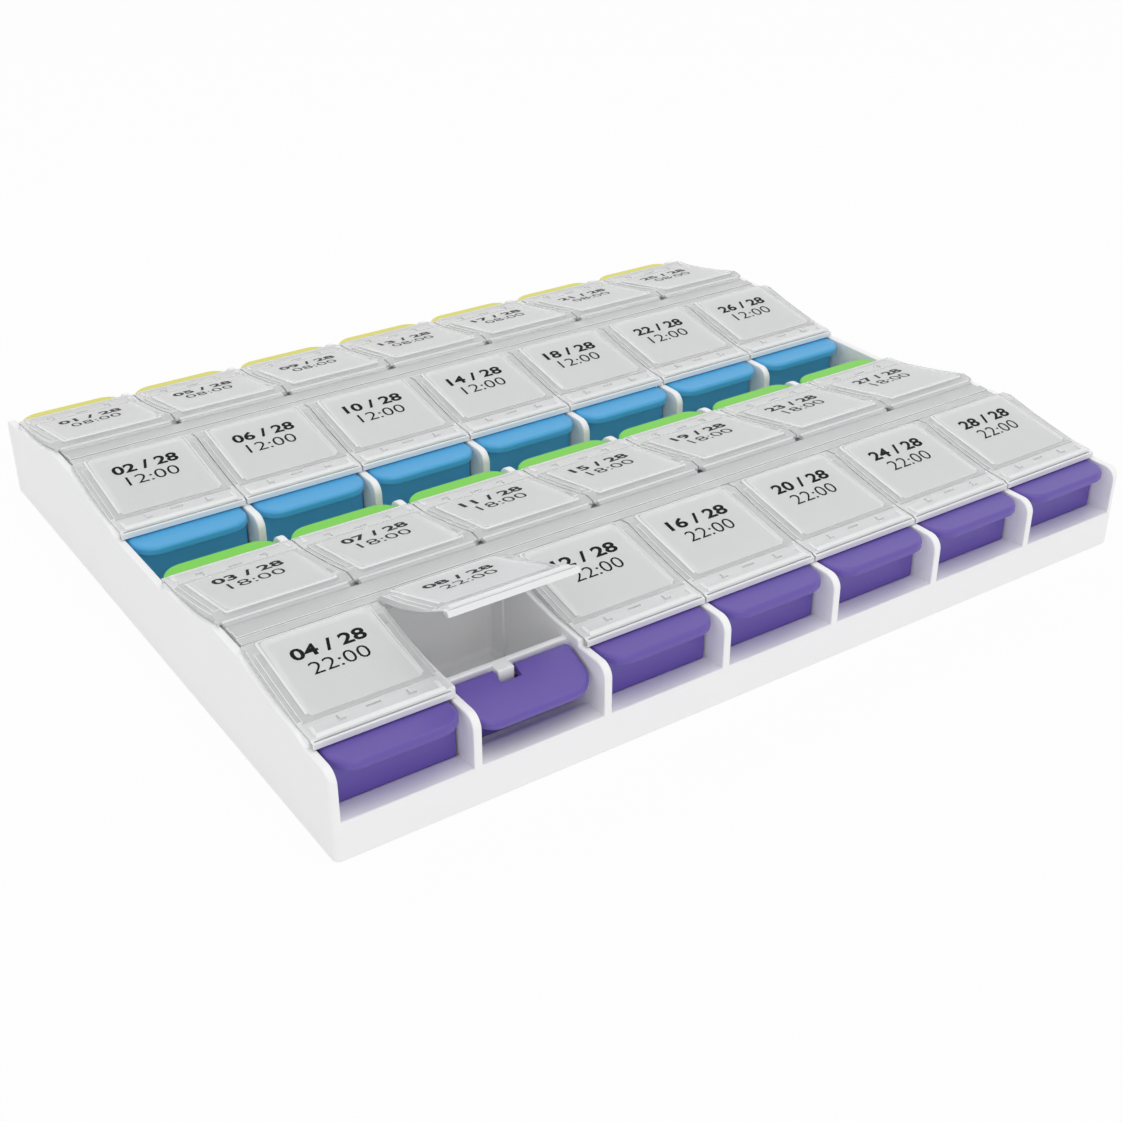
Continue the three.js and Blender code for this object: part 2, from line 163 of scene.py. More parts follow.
# %% Round lines
def arc(x, y, radius, start, stop, steps):
    """Points along a circle about (x, y), from one angle to another, in degrees."""
    angles = [math.radians(start + (stop - start) * i / steps) for i in range(steps + 1)]
    return [(x + radius * math.cos(angle), y + radius * math.sin(angle)) for angle in angles]


def rounded_rectangle(x0, x1, y0, y1, radius, steps=6):
    """The outline of a rectangle with four round corners."""
    return (
        arc(x0 + radius, y0 + radius, radius, 180, 270, steps)
        + arc(x1 - radius, y0 + radius, radius, 270, 360, steps)
        + arc(x1 - radius, y1 - radius, radius, 0, 90, steps)
        + arc(x0 + radius, y1 - radius, radius, 90, 180, steps)
    )


def spline(before, start, stop, after, share):
    """A smooth curve's value at a share of the way from start to stop."""
    climb = stop - before
    bend = 2 * before - 5 * start + 4 * stop - after
    twist = 3 * start - before - 3 * stop + after
    return 0.5 * (2 * start + climb * share + bend * share**2 + twist * share**3)


def smoothed(points, steps=4):
    """A smooth line through the points."""
    ends = [points[0], *points, points[-1]]
    line = []
    for four in zip(ends, ends[1:], ends[2:], ends[3:]):
        line += [tuple(spline(*values, i / steps) for values in zip(*four)) for i in range(steps)]
    return [*line, points[-1]]


print("a smooth line of 3 points has", len(smoothed([(0, 0), (1, 1), (2, 0)])), "points")

# %% [markdown]
# ## Joining, cutting and rounding
# A mould has no knife edges, so every piece gets a small round along its edges, which catches the light.
# The Bevel modifier rounds, the Boolean modifier joins and cuts, and Weighted Normal keeps the flats flat.
# Rounding a finished shape fails where cuts meet, so each simple body is rounded first and joined later.

# %% Modifiers that are applied at once
SOLVER = "MANIFOLD"


def evaluated_mesh(piece):
    """The mesh that the piece has after its modifiers."""
    return bpy.data.meshes.new_from_object(piece.evaluated_get(bpy.context.evaluated_depsgraph_get()))


def with_modifiers(piece, *steps):
    """Applies (kind, settings) modifiers to the piece, in that order."""
    for kind, settings in steps:
        modifier = piece.modifiers.new(kind.lower(), kind)
        for key, value in settings.items():
            setattr(modifier, key, value)
    made = evaluated_mesh(piece)
    piece.modifiers.clear()
    piece.data = made
    return piece


def join_or_cut(piece, others, operation):
    """Joins the others to the piece or cuts them from it, one by one. They are used up."""
    for other in others:
        with_modifiers(piece, ("BOOLEAN", {"object": other, "operation": operation, "solver": SOLVER}))
        bpy.data.objects.remove(other)
    return piece


def joined(first, *others):
    return join_or_cut(first, others, "UNION")


def cut(piece, *others):
    return join_or_cut(piece, others, "DIFFERENCE")


def side_by_side(name, pieces):
    """Bodies that don't touch, as one mesh."""
    body = bmesh.new()
    for piece in pieces:
        body.from_mesh(piece.data)
        bpy.data.objects.remove(piece)
    mesh = bpy.data.meshes.new(name)
    body.to_mesh(mesh)
    body.free()
    made = bpy.data.objects.new(name, mesh)
    bpy.context.scene.collection.objects.link(made)
    return made


print("pieces are joined and cut by the", SOLVER.lower(), "solver")

# %% Rounding and shading
SHARP_DEG, CREASE_DEG = 35, 50


def weigh_edges(piece, rule):
    """Gives each sharp edge the bevel weight that the rule has for its two ends, in millimetres."""
    body = bmesh.new()
    body.from_mesh(piece.data)
    weight = body.edges.layers.float.new("bevel_weight_edge")
    for edge in body.edges:
        sharp = edge.calc_face_angle(0) > math.radians(SHARP_DEG)
        edge[weight] = rule(*(corner.co / MM for corner in edge.verts)) if sharp else 0
    body.to_mesh(piece.data)
    body.free()


def rounded(piece, width, segments=2, angle=SHARP_DEG, limit="ANGLE", painted_highlight_slot=-1):
    """A small round along every sharp or weighted edge, in a material slot of its own if one is given; the
    clear bodies give the one that paints a highlight.
    """
    return with_modifiers(piece, ("BEVEL", {
        "width": width * MM,
        "segments": segments,
        "limit_method": limit,
        "angle_limit": math.radians(angle),
        "use_clamp_overlap": False,
        "material": painted_highlight_slot,
    }))


def finished(piece, material=None):
    """Smooth shading that keeps the flats flat, and one material for the piece where one is given."""
    for face in piece.data.polygons:
        face.use_smooth = True
    piece.data.set_sharp_from_angle(angle=math.radians(CREASE_DEG))
    with_modifiers(piece, ("WEIGHTED_NORMAL", {"keep_sharp": True}))
    if material:
        piece.data.materials.clear()
        piece.data.materials.append(material)
    return piece


print("edges over", SHARP_DEG, "degrees get a round")

# %% [markdown]
# ## Finishes
# Every piece is moulded plastic, which is never one flat colour when looked at closely.
# The resin flows and cools unevenly, so colour and gloss drift a little, over a faint orange peel.
# Each material could carry these nodes itself, but one node group keeps all the plastics alike,
# and each material gives it its own amounts.

# %% A node group for moulded plastic
GROUP_SOCKETS = {
    "INPUT": {"Colour": "Color", "Drift": "Float", "Gloss": "Float", "Gloss drift": "Float",
              "Peel size": "Float"},
    "OUTPUT": {"Colour": "Color", "Roughness": "Float", "Height": "Float"},
}


def add_node(tree, kind, values=(), **settings):
    """A node with its settings, and values for some of its inputs."""
    made = tree.nodes.new(kind)
    for key, value in settings.items():
        setattr(made, key, value)
    for key, value in dict(values).items():
        made.inputs[key].default_value = value
    return made


def make_moulded_group():
    """Colour and roughness that drift over the surface, and the height of a faint orange peel."""
    group = bpy.data.node_groups.new("moulded plastic", "ShaderNodeTree")
    for in_out, kinds in GROUP_SOCKETS.items():
        for name, kind in kinds.items():
            group.interface.new_socket(name=name, in_out=in_out, socket_type="NodeSocket" + kind)
    given = add_node(group, "NodeGroupInput")
    result = add_node(group, "NodeGroupOutput")
    place = add_node(group, "ShaderNodeTexCoord")
    flow = add_node(group, "ShaderNodeTexNoise", {"Scale": 55, "Detail": 3, "Roughness": 0.55})
    peel = add_node(group, "ShaderNodeTexNoise", {"Detail": 2, "Roughness": 0.5})
    rubs = add_node(group, "ShaderNodeTexNoise",
                    {"Scale": 900, "Detail": 2, "Roughness": 0.6, "Distortion": 0.4})
    shade = add_node(group, "ShaderNodeHueSaturation")
    swing = add_node(group, "ShaderNodeMath", {1: 0.5}, operation="SUBTRACT")
    scaled = add_node(group, "ShaderNodeMath", {2: 1.0}, operation="MULTIPLY_ADD")
    dull = add_node(group, "ShaderNodeMath", {1: 0.5}, operation="SUBTRACT")
    rough = add_node(group, "ShaderNodeMath", operation="MULTIPLY_ADD")
    link = group.links.new
    for texture in (flow, peel, rubs):
        link(place.outputs["Object"], texture.inputs["Vector"])
    link(given.outputs["Peel size"], peel.inputs["Scale"])
    link(flow.outputs["Fac"], swing.inputs[0])
    link(swing.outputs[0], scaled.inputs[0])
    link(given.outputs["Drift"], scaled.inputs[1])
    link(given.outputs["Colour"], shade.inputs["Color"])
    link(scaled.outputs[0], shade.inputs["Value"])
    link(rubs.outputs["Fac"], dull.inputs[0])
    link(dull.outputs[0], rough.inputs[0])
    link(given.outputs["Gloss drift"], rough.inputs[1])
    link(given.outputs["Gloss"], rough.inputs[2])
    link(shade.outputs["Color"], result.inputs["Colour"])
    link(rough.outputs[0], result.inputs["Roughness"])
    link(peel.outputs["Fac"], result.inputs["Height"])
    return group


moulded_group = make_moulded_group()
print("group", moulded_group.name, "gives", list(GROUP_SOCKETS["OUTPUT"]))

# %% [markdown]
# ## Plastics
# The tray is white, the buttons have one colour for each time of day, and the lids and strips are clear.
# The lids could be pure glass, but thin moulded plastic is a little cloudy, and its edges catch the light.
# So four clear finishes mix transmission with a pale body colour: clear, edge, frosted and satin.
# The edge finish is whiter, and it is put on rounds, rims and lips as a painted highlight.
# Gloss is the Principled shader's roughness, so a small number is the shinier one.

# %% Plastics
WHITE_COLOUR = (0.955, 0.955, 0.96, 1)
CLEAR_COLOUR = (0.975, 0.98, 0.985, 1)
FROSTED_COLOUR = (0.93, 0.935, 0.935, 1)
INK_COLOUR = (0.003, 0.003, 0.0034, 1)
BUTTON_COLOURS = {
    "bedtime": ("purple_plastic", (0.128, 0.078, 0.395, 1)),
    "evening": ("green_plastic", (0.181, 0.672, 0.045, 1)),
    "noon": ("blue_plastic", (0.063, 0.395, 0.75, 1)),
    "morning": ("yellow_plastic", (0.753, 0.716, 0.102, 1)),
}
SHINY = {"drift": 0.02, "gloss_drift": 0.05, "bump": 0.01}
MATT = {"drift": 0.03, "gloss_drift": 0.06, "bump": 0.01}
PEEL_DISTANCE = 0.0005


def moulded(name, colour, gloss, drift=0.05, gloss_drift=0.08, peel_size=450, bump=0.02, **shader_values):
    """A plastic with its own amounts for the group, and any other values for its Principled shader."""
    material = bpy.data.materials.new(name)
    material.use_nodes = True
    tree = material.node_tree
    shader = tree.nodes["Principled BSDF"]
    finish = add_node(tree, "ShaderNodeGroup", node_tree=moulded_group)
    relief = add_node(tree, "ShaderNodeBump", {"Strength": bump, "Distance": PEEL_DISTANCE})
    amounts = {
        "Colour": colour,
        "Drift": drift,
        "Gloss": gloss,
        "Gloss drift": gloss_drift,
        "Peel size": peel_size,
    }
    for key, value in amounts.items():
        finish.inputs[key].default_value = value
    for key, value in shader_values.items():
        shader.inputs[key.replace("_", " ")].default_value = value
    tree.links.new(finish.outputs["Colour"], shader.inputs["Base Color"])
    tree.links.new(finish.outputs["Roughness"], shader.inputs["Roughness"])
    tree.links.new(finish.outputs["Height"], relief.inputs["Height"])
    tree.links.new(relief.outputs["Normal"], shader.inputs["Normal"])
    return material


white_plastic = moulded("white moulding", WHITE_COLOUR, gloss=0.42, drift=0.03)
clear_plastic = moulded("clear moulding", CLEAR_COLOUR, gloss=0.1, **SHINY,
                        Transmission_Weight=0.52, IOR=1.38)
# The edge plastic lets less light through than the clear one, so every face that gets it shows whiter: a
# painted highlight.
painted_highlight_plastic = moulded("painted highlight on clear moulding", CLEAR_COLOUR, gloss=0.12, **SHINY,
                       Transmission_Weight=0.16, IOR=1.45)
frosted_plastic = moulded("frosted window", FROSTED_COLOUR, gloss=0.36, **MATT,
                          Transmission_Weight=0.34, IOR=1.5)
satin_plastic = moulded("satin window border", CLEAR_COLOUR, gloss=0.36, **MATT,
                        Transmission_Weight=0.32, IOR=1.5)
CLEAR_SLOTS = [clear_plastic, painted_highlight_plastic, frosted_plastic, satin_plastic]
CLEAR, PAINTED_HIGHLIGHT, FROSTED, SATIN = range(len(CLEAR_SLOTS))
button_plastics = {}
for time, (name, colour) in BUTTON_COLOURS.items():
    button_plastics[time] = moulded("button " + name, colour, gloss=0.34)
label_ink = moulded("label ink", INK_COLOUR, gloss=0.5, drift=0.2, Specular_IOR_Level=0.12)
print("materials:", [material.name for material in bpy.data.materials])

# %% [markdown]
# ## The tray
# The real tray is one white moulding: walls between the days, deep compartments with rounded corners,
# a low shelf before each compartment for its button, and tall fins between the shelves.
# It could be one hand-made mesh, but joining closed bodies follows how the mould itself was cut.

# %% Edges of the tray, and helpers for its sections
TRAY_RADIUS, TRAY_EDGE = 1.6, 0.4
OVERRUN, ROOT, ABOVE = 1, 1, 40
INNER_END = WIDTH / 2 - OVERRUN


def moved_y(section, y):
    """A section at its module's place."""
    return [(out - y, up) for out, up in section]


def turned(section):
    """A section that faces the other way."""
    return [(-out, up) for out, up in section]


def mirrored(half):
    """A whole section from its half, which starts at the middle."""
    return [*turned(reversed(half[1:])), *half]


def flared(out, top):
    """The rounded mouth of a cut, from its side at out up to the surface at top."""
    return [*arc(out + TRAY_EDGE, top - TRAY_EDGE, TRAY_EDGE, 180, 90, 3), (out + TRAY_EDGE, top + OVERRUN)]


print("cuts run", OVERRUN, "mm past what they cut, and walls start", ROOT, "mm above the table")

# %% The tray's lower slab, with troughs for the buttons and the valley between the modules
TROUGH_LENGTH, VALLEY_HALF = 8.6, MODULE_CENTRE - BAY_END
TROUGH_END = BAY_START + TROUGH_LENGTH
SLOPE_FOOT, SLOPE_BEND, BEND_RISE, MOUTH = 5, 2.8, 0.5, 0.3
tray_plan = rounded_rectangle(-WIDTH / 2, WIDTH / 2, -DEPTH / 2, DEPTH / 2, TRAY_RADIUS, 5)
trough = [
    (BAY_START - OVERRUN, FASCIA + OVERRUN),
    (BAY_START - OVERRUN, TROUGH_FLOOR),
    (TROUGH_END - SLOPE_FOOT, TROUGH_FLOOR),
    (TROUGH_END - SLOPE_BEND, TROUGH_FLOOR + BEND_RISE),
    (TROUGH_END + MOUTH, FASCIA),
    (TROUGH_END + MOUTH, FASCIA + OVERRUN),
]
valley_side = flared(VALLEY_HALF, FASCIA)
valley = [*turned(reversed(valley_side)), (-VALLEY_HALF, FLOOR), (VALLEY_HALF, FLOOR), *valley_side]
tray = rounded(raised("tray_moulding", tray_plan, 0, FASCIA), TRAY_EDGE)
troughs = [along_x("trough", moved_y(side, module), -INNER_END, INNER_END)
           for module in MODULES for side in (trough, turned(trough))]
cut(tray, side_by_side("troughs", [*troughs, along_x("valley", valley, -INNER_END, INNER_END)]))
print("slab:", len(tray.data.vertices), "points")

# %% Blocks for the compartments
MIDDLE_TOP, MIDDLE_HALF = STRIP_BOTTOM - GAP, 5.5
block_half = [
    (0, MIDDLE_TOP), (MIDDLE_HALF, MIDDLE_TOP), (MIDDLE_HALF, WALL_TOP),
    *arc(BAY_START - TRAY_EDGE, WALL_TOP - TRAY_EDGE, TRAY_EDGE, 90, 0, 3), (BAY_START, ROOT),
]
blocks = [along_x("block", moved_y(mirrored(block_half), module), -INNER_END, INNER_END)
          for module in MODULES]
joined(tray, side_by_side("blocks", blocks))
print("with blocks:", len(tray.data.vertices), "points")

# %% Compartments with rounded floors and mouths
POCKET_RADIUS, SMALLEST_RADIUS, FLOOR_RADIUS = 0.9, 0.2, 1.6
THICK_END, THICK_BLEND, THICK = 6.6, 0.2, 0.35
CORNER_STEPS = 5


def compartment_plan(x0, x1, out0, out1, radius):
    """A rounded rectangle, a little narrower beside the middle wall, where the side walls are thicker."""
    near0, near1 = x0 + THICK, x1 - THICK
    return [
        (x0, THICK_END + THICK_BLEND),
        (near0, THICK_END),
        *arc(near0 + radius, out0 + radius, radius, 180, 270, CORNER_STEPS),
        *arc(near1 - radius, out0 + radius, radius, 270, 360, CORNER_STEPS),
        (near1, THICK_END),
        (x1, THICK_END + THICK_BLEND),
        *arc(x1 - radius, out1 - radius, radius, 0, 90, CORNER_STEPS),
        *arc(x0 + radius, out1 - radius, radius, 90, 180, CORNER_STEPS),
    ]


def pocket(x0, x1, side, module):
    """The space inside one compartment. Side is 1 where it lies before the middle wall and -1 behind it."""

    def plan(inset, flare, up):
        radius = max(POCKET_RADIUS - inset, SMALLEST_RADIUS) + flare
        left, right = x0 + inset - flare, x1 - inset + flare
        corners = compartment_plan(left, right, WALL / 2 + inset, POCKET_END - inset + flare, radius)
        return [(x, module - side * out, up) for x, out in corners]

    loops = [plan(0, TRAY_EDGE, ABOVE)]
    for lean in (0, 30, 60, 90):
        turn = math.radians(lean)
        flare = TRAY_EDGE * (1 - math.sin(turn))
        loops.append(plan(0, flare, WALL_TOP - TRAY_EDGE * (1 - math.cos(turn))))
    for i in range(CORNER_STEPS + 1):
        turn = math.radians(90 * i / CORNER_STEPS)
        inset = FLOOR_RADIUS * (1 - math.cos(turn))
        loops.append(plan(inset, 0, FLOOR + FLOOR_RADIUS * (1 - math.sin(turn))))
    return lofted("pocket", loops)


pockets = []
for module in MODULES:
    for column in range(len(DAYS)):
        left = (column - len(DAYS) / 2) * PITCH + WALL / 2
        pockets += [pocket(left, left + PITCH - WALL, side, module) for side in (1, -1)]
print(len(pockets), "compartments")
cut(tray, side_by_side("pockets", pockets))

# %% Sections of the walls, with humps that carry the lids and fins between the buttons
HUMP_SHARES = [(0, 1), (0.11, 0.8), (0.34, 0.41), (0.51, 0.24), (0.64, 0.12), (0.81, 0.05), (1, 0)]
HUMP_RISE = 4.2
FIN_RADIUS, CORNER_SETBACK, END_EDGE = 3.4, 0.04, 0.3
CHEEK_TOP, CHEEK_SETBACK = 28.1, 1.5
hump_length = STEP_OUT - HUMP_START
hump = smoothed([(HUMP_START + hump_length * along, SEAT + HUMP_RISE * rise) for along, rise in HUMP_SHARES])
fin_end = [*arc(BAY_END - FIN_RADIUS, WALL_TOP - FIN_RADIUS, FIN_RADIUS, 90, 0, 9), (BAY_END, ROOT)]
inner_wall = mirrored([(0, MIDDLE_TOP), (HUMP_START, MIDDLE_TOP), *hump, (STEP_OUT, WALL_TOP), *fin_end])
outer_half = [(0, CHEEK_TOP), (HUMP_START - CHEEK_SETBACK, CHEEK_TOP), *hump, (STEP_OUT, WALL_TOP)]
outer_end = moved_y(fin_end, CORNER_SETBACK)
outer_wall = [
    *moved_y(turned(reversed([*outer_half[1:], *outer_end])), MODULE_CENTRE),
    *moved_y(outer_half, MODULE_CENTRE),
    *moved_y(turned(reversed(outer_half[1:])), -MODULE_CENTRE),
    *moved_y([*outer_half, *outer_end], -MODULE_CENTRE),
]
print("a wall's section has", len(inner_wall), "points, and an outer one", len(outer_wall))

# %% Slopes beside the lids' ends
RAMP_LENGTH, RAMP_WIDTH, RAMP_ROOM = 5.0, 1.05, 4
RAMP_RISE, RAMP_FOOT, HAIR = 0.2, 0.6, 0.01


def over_ramp(end, side, module):
    """The space over a slope from the hump to the fin. End is 1 at the right and -1 at the left."""
    loops = []
    inside, outside = WIDTH / 2 - RAMP_WIDTH, WIDTH / 2 + OVERRUN
    upper, lower = (STEP_OUT - RAMP_LENGTH, SEAT + RAMP_RISE), (STEP_OUT + RAMP_FOOT, WALL_TOP + 2 * HAIR)
    for out, up in (upper, lower):
        profile = [
            (outside, up - END_EDGE),
            *arc(WIDTH / 2 + HAIR - END_EDGE, up - END_EDGE, END_EDGE, 0, 90, 3),
            (inside, up),
            (inside, up + RAMP_ROOM),
            (outside, up + RAMP_ROOM),
        ]
        loops.append([(end * x, module - side * out, z) for x, z in profile])
    return lofted("ramp", loops)


def outer_wall_at(end):
    """One outer wall, cut to the tray's plan, with a slope beside each of its four lids."""
    x0, x1 = sorted((end * (WIDTH / 2 + OVERRUN), end * (WIDTH / 2 - WALL)))
    wall = along_x("end", outer_wall, x0, x1)
    join_or_cut(wall, [raised("outline", tray_plan, 0, ABOVE)], "INTERSECT")
    ramps = [over_ramp(end, side, module) for module in MODULES for side in (1, -1)]
    return cut(rounded(wall, END_EDGE), side_by_side("ramps", ramps))


outer_walls = [outer_wall_at(end) for end in (-1, 1)]
print(len(outer_walls), "outer walls")

# %% All walls on the tray
walls = []
for edge in range(1, len(DAYS)):
    x = (edge - len(DAYS) / 2) * PITCH
    for module in MODULES:
        wall = along_x("wall", moved_y(inner_wall, module), x - WALL / 2, x + WALL / 2)
        walls.append(rounded(wall, TRAY_EDGE))
middle = [(WALL / 2, ROOT), (WALL / 2, MIDDLE_TOP), (-WALL / 2, MIDDLE_TOP), (-WALL / 2, ROOT)]
middles = [along_x("middle", moved_y(middle, module), -INNER_END, INNER_END) for module in MODULES]
joined(tray, side_by_side("middles", middles))
joined(tray, side_by_side("walls", walls), side_by_side("ends", outer_walls))
finished(tray, white_plastic)
print("tray:", len(tray.data.vertices), "points")
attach(tray, "tray")
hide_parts("tray")

# %% [markdown]
# ## The ledges and posts under the buttons
# Each button rocks on a small ledge on the compartment's front wall, and a post keeps its notch in line.
# They could be cut from the tray's own mesh, but they are small and mostly hidden,
# so each is its own little body that grows out of the wall.

# %% Ledges and posts
LEDGE_TOP, LEDGE_WIDTH, LEDGE_DEPTH, LEDGE_LIP = 19.75, 1.6, 2.2, 0.6
NOTCH_CENTRE, NOTCH_WIDTH, NOTCH_DEPTH = -1.95, 5.3, 3.8
POST_WIDTH, POST_REACH, POST_DEPTH, POST_LIP = 4.1, 2.7, 6, 3.3
IN_FRONT_WALL, IN_SIDE_WALL, LEDGE_EDGE = 0.8, 0.5, 0.25
post_top = WALL_TOP - 2 * HAIR
ledge_section = [
    (BAY_START - IN_FRONT_WALL, LEDGE_TOP - LEDGE_DEPTH),
    (BAY_START, LEDGE_TOP - LEDGE_DEPTH),
    (BAY_START + LEDGE_WIDTH, LEDGE_TOP - LEDGE_LIP),
    (BAY_START + LEDGE_WIDTH, LEDGE_TOP),
    (BAY_START - IN_FRONT_WALL, LEDGE_TOP),
]
post_section = [
    (BAY_START - IN_FRONT_WALL, WALL_TOP - POST_DEPTH),
    (BAY_START, WALL_TOP - POST_DEPTH),
    (BAY_START + POST_REACH, WALL_TOP - POST_LIP),
    (BAY_START + POST_REACH, post_top),
    (BAY_START - IN_FRONT_WALL, post_top),
]
reach = PITCH / 2 - WALL / 2 + IN_SIDE_WALL
bits = []
for module in MODULES:
    for x in map(column_x, range(len(DAYS))):
        for facing, notch in ((list, NOTCH_CENTRE), (turned, -NOTCH_CENTRE)):
            ledge, post = (moved_y(facing(section), module) for section in (ledge_section, post_section))
            bits.append(along_x("ledge", ledge, x - reach, x + reach))
            bits.append(along_x("post", post, x + notch - POST_WIDTH / 2, x + notch + POST_WIDTH / 2))
ledges = finished(rounded(side_by_side("ledges_and_posts", bits), LEDGE_EDGE), white_plastic)
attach(ledges, "tray")
print(len(bits), "ledges and posts")

# %% [markdown]
# ## Where the moving pieces go
# All lids are one moulding, and all buttons of a row are one moulding in their colour.
# Each could be modelled in its place, but it is modelled once for a row that faces the front,
# closed and at rest, and then copied. Rows that face the back are turned half a turn.
# Monday's bedtime lid is shown open, with its button held down.

# %% Places of the rows
# Each row has its time of day, the side of its module, its turn and the hour on its lids.
ROWS = [("bedtime", -1, 0, 22), ("evening", -1, 180, 18), ("noon", 1, 0, 12), ("morning", 1, 180, 8)]
SHOWN_OPEN = "mon_bedtime"


def turned_about(out, up, degrees):
    """A turn about a line along X, which lifts the front side."""
    pivot = Matrix.Translation((0, -out * MM, up * MM))
    return pivot @ Matrix.Rotation(math.radians(-degrees), 4, "X") @ pivot.inverted()


def place_of(column, side, turn, opened=None):
    """Where a compartment's lid or button goes, opened there or as it was made."""
    middle_of_row = Matrix.Translation((column_x(column) * MM, side * MODULE_CENTRE * MM, 0))
    place = middle_of_row @ Matrix.Rotation(math.radians(turn), 4, "Z")
    return place @ opened if opened else place


def placed(name, mesh, place, tilted):
    """An object at its place. A tilted one has its place in its mesh, so that its box is measured upright."""
    if tilted:
        mesh = mesh.copy()
        mesh.transform(place)
    piece = bpy.data.objects.new(name, mesh)
    bpy.context.scene.collection.objects.link(piece)
    piece.matrix_world = Matrix() if tilted else place
    return piece


def copies(mesh_of, kind, opened, slot_of):
    """One copy for each compartment, riding on its own body and standing for its solid."""
    for time, side, turn, _ in ROWS:
        for column, day in enumerate(DAYS):
            body = f"{kind}_{day}_{time}"
            tilted = body.endswith(SHOWN_OPEN)
            place = place_of(column, side, turn, opened if tilted else None)
            piece = placed(f"{body}_moulding", mesh_of(time), place, tilted)
            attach(piece, body)
            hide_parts(body)
            slot_of(time)


print(len(ROWS) * len(DAYS), "places")

# %% [markdown]
# ## The buttons
# A button is a thick plate with two wide rounded corners in front and a notch at its back.
# A skirt hangs under it, in front of the compartment's wall. The top edge is rounded for the fingertip.
# One bevel width can't do both, so the edges carry bevel weights: wide on top and small below.

# %% One button
PLATE_REAR, PLATE_FRONT, PLATE_BOTTOM = 33.4, 46.7, 20.3
PLATE_GAP, FRONT_CORNER, REAR_CORNER = 0.45, 6.0, 1.2
HALF_PLATE = PITCH / 2 - WALL / 2 - PLATE_GAP
SKIRT_SETBACK, SKIRT_THICKNESS, SKIRT_CORNER = 5.4, 1.6, 0.7
SKIRT_BOTTOM, SKIRT_EDGE = FASCIA - 0.2, 0.3
TOP_ROUND, FULL_WEIGHT, SMALL_WEIGHT = 1.0, 1.0, 0.3


def button_plan():
    """The plate from above, with two wide front corners and a notch at its back."""
    half, big, small = HALF_PLATE, FRONT_CORNER, REAR_CORNER
    left, right = NOTCH_CENTRE - NOTCH_WIDTH / 2, NOTCH_CENTRE + NOTCH_WIDTH / 2
    notch_end = PLATE_REAR + NOTCH_DEPTH
    return [
        *arc(-half + small, PLATE_REAR + small, small, 180, 270, 4),
        (left, PLATE_REAR), (left, notch_end), (right, notch_end), (right, PLATE_REAR),
        *arc(half - small, PLATE_REAR + small, small, 270, 360, 4),
        *arc(half - big, PLATE_FRONT - big, big, 0, 90, 10),
        *arc(-half + big, PLATE_FRONT - big, big, 90, 180, 10),
    ]


def finger_round(*corners):
    """Full round along the top edge, and a small one in the notch and along every other edge."""
    on_top = all(abs(corner.z - WALL_TOP) < HAIR for corner in corners)
    in_notch = all(abs(corner.x - NOTCH_CENTRE) < NOTCH_WIDTH / 2 + HAIR for corner in corners)
    return FULL_WEIGHT if on_top and not in_notch else SMALL_WEIGHT


button = raised("button", button_plan(), PLATE_BOTTOM, WALL_TOP)
weigh_edges(button, finger_round)
rounded(button, TOP_ROUND, 4, limit="WEIGHT")
skirt_front = PLATE_FRONT - SKIRT_SETBACK
skirt_rear = skirt_front - SKIRT_THICKNESS
skirt_plan = rounded_rectangle(-HALF_PLATE, HALF_PLATE, skirt_rear, skirt_front, SKIRT_CORNER, 4)
skirt = raised("skirt", skirt_plan, SKIRT_BOTTOM, PLATE_BOTTOM + OVERRUN)
finished(joined(button, rounded(skirt, SKIRT_EDGE)), white_plastic)
print("button:", len(button.data.vertices), "points")

# %% Buttons in four colours
button_meshes = {}
for time, surface in button_plastics.items():
    button_meshes[time] = button.data.copy()
    button_meshes[time].materials[0] = surface
bpy.data.objects.remove(button)
held = turned_about(PIVOT_OUT, PIVOT_UP, -SHOWN_BUTTON_DEG)
copies(button_meshes.get, "button", held, lambda time: BUTTON_COLOURS[time][0])
print("button meshes for", list(button_meshes))

# %% [markdown]
# ## The lids
# A lid is clear and all one moulding. A bead along its back turns in the strip's channel, a curved slab
# lies on the walls, and a raised window with sloped sides stands over the compartment.
# In front are a flat shelf, a raised rim for the fingernail and a lip that comes down before the wall.
# The window could be a flat card, but clear plastic shows its thickness, so it is a hollow under a thin pane.

# %% Curves of a lid
BETWEEN_LIDS = 0.4
LID_WIDTH = PITCH - BETWEEN_LIDS
LID_FRONT, LIP_TOP, CREST_OUT, CREST, LID_REAR_OUT, LID_REAR_UP = 39.1, 24.2, 8.9, 29.9, 5.9, 29.5
lid_top = smoothed([
    (CREST_OUT, CREST), (12.3, 29.05), (17.0, 27.9), (21.0, 27.1), (25.0, 26.3), (29.0, 25.55), (32.5, 25.0),
    (36.0, 24.75), (37.6, 24.68), (38.3, 24.35), (LID_FRONT, LIP_TOP),
])
lid_under = [(out + GAP / 2, up + GAP) for out, up in hump]


def slope(out0, up0, out1, up1):
    """The height on a slanted plane."""
    return lambda x, out: up0 + (up1 - up0) * (out - out0) / (out1 - out0)


def over_slab(rise):
    """A height above the lid's curved top."""
    def height(x, out):
        for (a, up_a), (b, up_b) in zip(lid_top, lid_top[1:]):
            if out <= b:
                return up_a + (up_b - up_a) * (out - a) / (b - a) + rise
        return LIP_TOP + rise
    return height


print("the lid's top falls from", lid_top[0][1], "to", lid_top[-1][1])

# %% Bodies in the clear plastics
SAME_WAY, ROUNDING_ROOM = 0.8, 0.000001


def tapered(name, foot_plan, foot_height, top_plan, top_height):
    """A body between two plans, each on its own slanted plane."""
    ends = ((foot_plan, foot_height), (top_plan, top_height))
    return lofted(name, [[(x, -out, height(x, out)) for x, out in plan] for plan, height in ends])


def in_slots(piece, *slots_of_faces):
    """Gives the body the clear plastics. The slots are for its two ends, and the last for all other faces."""
    for material in CLEAR_SLOTS:
        piece.data.materials.append(material)
    for face in piece.data.polygons:
        face.material_index = slots_of_faces[min(face.index, len(slots_of_faces) - 1)]
    return piece


